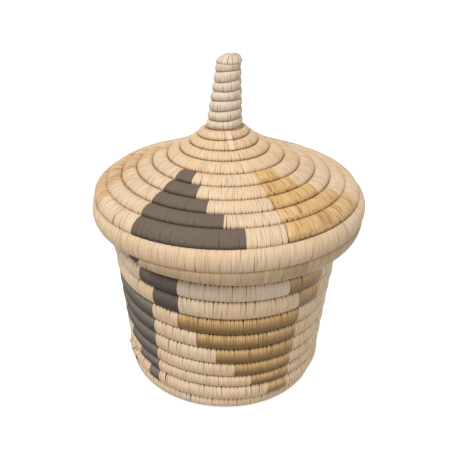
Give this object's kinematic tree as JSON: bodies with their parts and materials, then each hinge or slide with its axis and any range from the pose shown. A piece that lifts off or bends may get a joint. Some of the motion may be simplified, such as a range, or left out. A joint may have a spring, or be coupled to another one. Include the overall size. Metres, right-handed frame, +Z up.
{
  "type": "lidded pot basket",
  "caption": "Round coiled basket with slightly flared walls and a wide conical cap lid topped by a tall coiled knob.",
  "frame": {"origin": "centre of the foot's flat underside, on the surface that the basket stands on", "axes": "+Z up through the knob, -Y towards the pictured front, +X to the viewer's right"},
  "size_m": [0.1522, 0.152, 0.1877],
  "materials": {
    "natural_raffia": "natural raffia strands wrapped over a grass core, satin, with fine grain along the strands",
    "charcoal_raffia": "raffia dyed charcoal, matt and even",
    "tan_straw": "golden straw, flat strips with a slight shine"
  },
  "bodies": {
    "basket": {"base_knot": "natural_raffia", "base_coil": "natural_raffia", "wall_round_01": "natural_raffia", "wall_round_02": "natural_raffia", "wall_round_03": "natural_raffia", "wall_round_04": "natural_raffia", "wall_round_05": "natural_raffia", "wall_round_06": "natural_raffia", "wall_round_07": "natural_raffia", "wall_round_08": "natural_raffia", "wall_round_09": "natural_raffia", "wall_round_10": "natural_raffia", "wall_round_11": "natural_raffia", "rim_end": "natural_raffia"},
    "lid": {"lid_round_01": "natural_raffia", "lid_round_02": "natural_raffia", "lid_round_03": "natural_raffia", "lid_round_04": "natural_raffia", "lid_round_05": "natural_raffia", "lid_round_06": "natural_raffia", "lid_round_07": "natural_raffia", "lid_round_08": "natural_raffia", "lid_round_09": "natural_raffia", "brim_coil": "natural_raffia", "under_coil": "natural_raffia", "knob_coil": "natural_raffia", "knob_core": "natural_raffia"}
  },
  "joints": [
    {"name": "lid_lift", "type": "slide", "parent": "basket", "child": "lid", "axis": [0, 0, 1], "range_m": [0, 0.12]}
  ]
}
